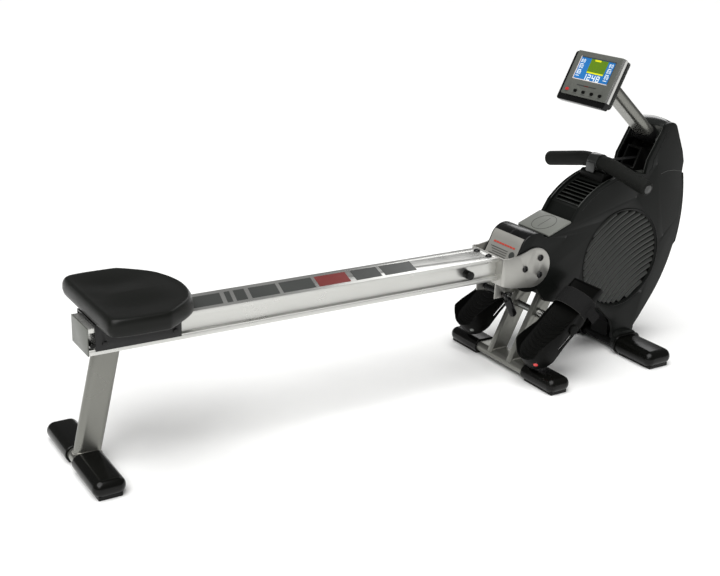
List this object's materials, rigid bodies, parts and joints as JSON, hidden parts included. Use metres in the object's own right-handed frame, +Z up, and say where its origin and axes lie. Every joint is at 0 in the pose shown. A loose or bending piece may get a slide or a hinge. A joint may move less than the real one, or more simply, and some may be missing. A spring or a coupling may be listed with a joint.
{
  "type": "rowing machine",
  "caption": "Folding rowing machine: flywheel housing with console on a mast, pull handle on a strap, tilting footrests and a seat rolling on a long rail.",
  "frame": {"origin": "on the floor, under the middle of the whole machine's length and width", "axes": "+X along the rail from the rear foot to the flywheel, +Y across to the left of a user facing the flywheel, +Z up"},
  "size_m": [2.3215, 0.5658, 1.0864],
  "materials": {
    "housing_plastic": "fine-grained moulded shell, dark grey",
    "grille_plastic": "moulded ribs, mid grey",
    "black_plastic": "moulded, satin black",
    "gloss_black": "glossy moulded black",
    "silver_plastic": "silver-painted plastic, satin",
    "label": "printed plate, grey with a red bar",
    "screen": "blue display behind clear window",
    "red_button": "red key",
    "rail_aluminium": "brushed lengthwise",
    "tube_silver": "silver powder coat",
    "frame_black": "black powder coat",
    "fork_steel": "polished plate",
    "spring_chrome": "bright spring wire",
    "axle_steel": "turned steel",
    "black_steel": "black oxide",
    "cast_iron": "machined rim",
    "belt_rubber": "ribbed belt",
    "roller_nylon": "white nylon",
    "foam": "closed-cell foam",
    "seat_skin": "moulded skin over foam, black",
    "webbing": "woven nylon",
    "foot_rubber": "moulded black"
  },
  "bodies": {
    "frame": {"crossbar_tube": "tube_silver", "posts": "tube_silver", "main_frame": "frame_black", "front_foot_tube": "frame_black", "foot_caps": "black_plastic", "footrest_axle": "axle_steel", "footrest_springs": "spring_chrome", "shell_left": "housing_plastic", "shell_right": "housing_plastic", "grilles": "grille_plastic", "shell_screws": "black_steel", "barrel_cover": "gloss_black", "label_plate": "label", "tool_tray": "silver_plastic", "top_cover": "housing_plastic", "handle_rest": "black_plastic", "neck_channel": "black_plastic", "neck_cap": "gloss_black", "front_cover": "housing_plastic", "mast": "tube_silver", "console_back": "black_plastic", "console_face": "silver_plastic", "console_screen": "screen", "fixed_axles": "axle_steel", "drive_belt": "belt_rubber"},
    "rail": {"rail": "rail_aluminium", "rail_end_plate": "silver_plastic", "rail_stops": "foot_rubber", "rear_leg": "tube_silver", "rear_foot_tube": "tube_silver", "rear_foot_caps": "black_plastic", "fork_bracket": "fork_steel", "pivot_hubs": "axle_steel", "fork_bolts": "black_steel", "lock_spring": "black_steel"},
    "lock_lever": {"lock_lever": "gloss_black"},
    "seat": {"seat_pad": "seat_skin", "seat_carriage": "black_steel"},
    "rear_rollers": {"rear_rollers": "roller_nylon"},
    "front_rollers": {"front_rollers": "roller_nylon"},
    "handle": {"handle_bar": "axle_steel", "handle_grips": "foam", "handle_collar": "silver_plastic", "strap": "webbing"},
    "strap_drum": {"strap_drum": "black_plastic"},
    "strap_roller": {"strap_roller": "axle_steel"},
    "flywheel": {"flywheel": "cast_iron"},
    "drive_pulley": {"drive_pulley": "black_plastic"},
    "magnet_yoke": {"magnet_yoke": "axle_steel"},
    "footrest_left": {"footrest_left": "black_plastic", "foot_strap_left": "webbing"},
    "footrest_right": {"footrest_right": "black_plastic", "foot_strap_right": "webbing"},
    "wheel_left": {"wheel_left": "foot_rubber"},
    "wheel_right": {"wheel_right": "foot_rubber"},
    "button_reset": {"button_reset": "red_button"},
    "button_mode": {"button_mode": "black_plastic"},
    "button_set": {"button_set": "black_plastic"},
    "button_up": {"button_up": "black_plastic"},
    "button_down": {"button_down": "black_plastic"}
  },
  "joints": [
    {"name": "rail_fold", "type": "hinge", "parent": "frame", "child": "rail", "pos_m": [0.439, 0, 0.394], "axis": [0, -1, 0], "range_deg": [-85, 0]},
    {"name": "lock_pull", "type": "slide", "parent": "rail", "child": "lock_lever", "axis": [0, -1, 0], "range_m": [0, 0.018], "stiffness_N_per_m": 600, "springref_m": -0.02, "deforming": ["lock_spring"]},
    {"name": "seat_slide", "type": "slide", "parent": "rail", "child": "seat", "axis": [1, 0, 0], "range_m": [0, 1]},
    {"name": "rear_roller_spin", "type": "hinge", "parent": "seat", "child": "rear_rollers", "pos_m": [-1.066, 0, 0.393], "axis": [0, 1, 0], "range_deg": [-10, 3910]},
    {"name": "front_roller_spin", "type": "hinge", "parent": "seat", "child": "front_rollers", "pos_m": [-0.861, 0, 0.393], "axis": [0, 1, 0], "range_deg": [-10, 3910]},
    {"name": "handle_pull", "type": "slide", "parent": "frame", "child": "handle", "axis": [-1, 0, 0], "range_m": [0, 0.95], "stiffness_N_per_m": 12, "springref_m": -1, "deforming": ["strap"]},
    {"name": "drum_spin", "type": "hinge", "parent": "frame", "child": "strap_drum", "pos_m": [0.62, 0, 0.4], "axis": [0, 1, 0], "range_deg": [-1700, 20]},
    {"name": "strap_roller_spin", "type": "hinge", "parent": "frame", "child": "strap_roller", "pos_m": [1.005, 0, 0.7017], "axis": [0, 1, 0], "range_deg": [-5900, 20]},
    {"name": "flywheel_spin", "type": "hinge", "parent": "frame", "child": "flywheel", "pos_m": [0.86, 0, 0.367], "axis": [0, 1, 0], "continuous": true},
    {"name": "pulley_spin", "type": "hinge", "parent": "frame", "child": "drive_pulley", "pos_m": [0.62, 0, 0.4], "axis": [0, 1, 0], "continuous": true},
    {"name": "yoke_tilt", "type": "hinge", "parent": "frame", "child": "magnet_yoke", "pos_m": [1.02228, 0, 0.41048], "axis": [0, 1, 0], "range_deg": [0, 8]},
    {"name": "left_footrest_tilt", "type": "hinge", "parent": "frame", "child": "footrest_left", "pos_m": [0.506, 0, 0.209], "axis": [0, 1, 0], "range_deg": [0, 18], "stiffness_Nm_per_rad": 6, "springref_deg": -14.32},
    {"name": "right_footrest_tilt", "type": "hinge", "parent": "frame", "child": "footrest_right", "pos_m": [0.506, 0, 0.209], "axis": [0, 1, 0], "range_deg": [0, 18], "stiffness_Nm_per_rad": 6, "springref_deg": -14.32},
    {"name": "left_wheel_spin", "type": "hinge", "parent": "frame", "child": "wheel_left", "pos_m": [0.965, 0, 0.023], "axis": [0, 1, 0], "continuous": true},
    {"name": "right_wheel_spin", "type": "hinge", "parent": "frame", "child": "wheel_right", "pos_m": [0.965, 0, 0.023], "axis": [0, 1, 0], "continuous": true},
    {"name": "button_reset_press", "type": "slide", "parent": "frame", "child": "button_reset", "axis": [0.9033, 0, -0.4289], "range_m": [0, 0.0015], "stiffness_N_per_m": 400, "springref_m": -0.001},
    {"name": "button_mode_press", "type": "slide", "parent": "frame", "child": "button_mode", "axis": [0.9033, 0, -0.4289], "range_m": [0, 0.0015], "stiffness_N_per_m": 400, "springref_m": -0.001},
    {"name": "button_set_press", "type": "slide", "parent": "frame", "child": "button_set", "axis": [0.9033, 0, -0.4289], "range_m": [0, 0.0015], "stiffness_N_per_m": 400, "springref_m": -0.001},
    {"name": "button_up_press", "type": "slide", "parent": "frame", "child": "button_up", "axis": [0.9033, 0, -0.4289], "range_m": [0, 0.0015], "stiffness_N_per_m": 400, "springref_m": -0.001},
    {"name": "button_down_press", "type": "slide", "parent": "frame", "child": "button_down", "axis": [0.9033, 0, -0.4289], "range_m": [0, 0.0015], "stiffness_N_per_m": 400, "springref_m": -0.001}
  ],
  "couplings": [
    {"joint": "rear_roller_spin", "follows": "seat_slide", "rad_per_m": 68.027},
    {"joint": "front_roller_spin", "follows": "seat_slide", "rad_per_m": 68.027},
    {"joint": "drum_spin", "follows": "handle_pull", "rad_per_m": -30.03},
    {"joint": "strap_roller_spin", "follows": "handle_pull", "rad_per_m": -97.087},
    {"joint": "pulley_spin", "follows": "flywheel_spin", "ratio": 0.3056}
  ]
}
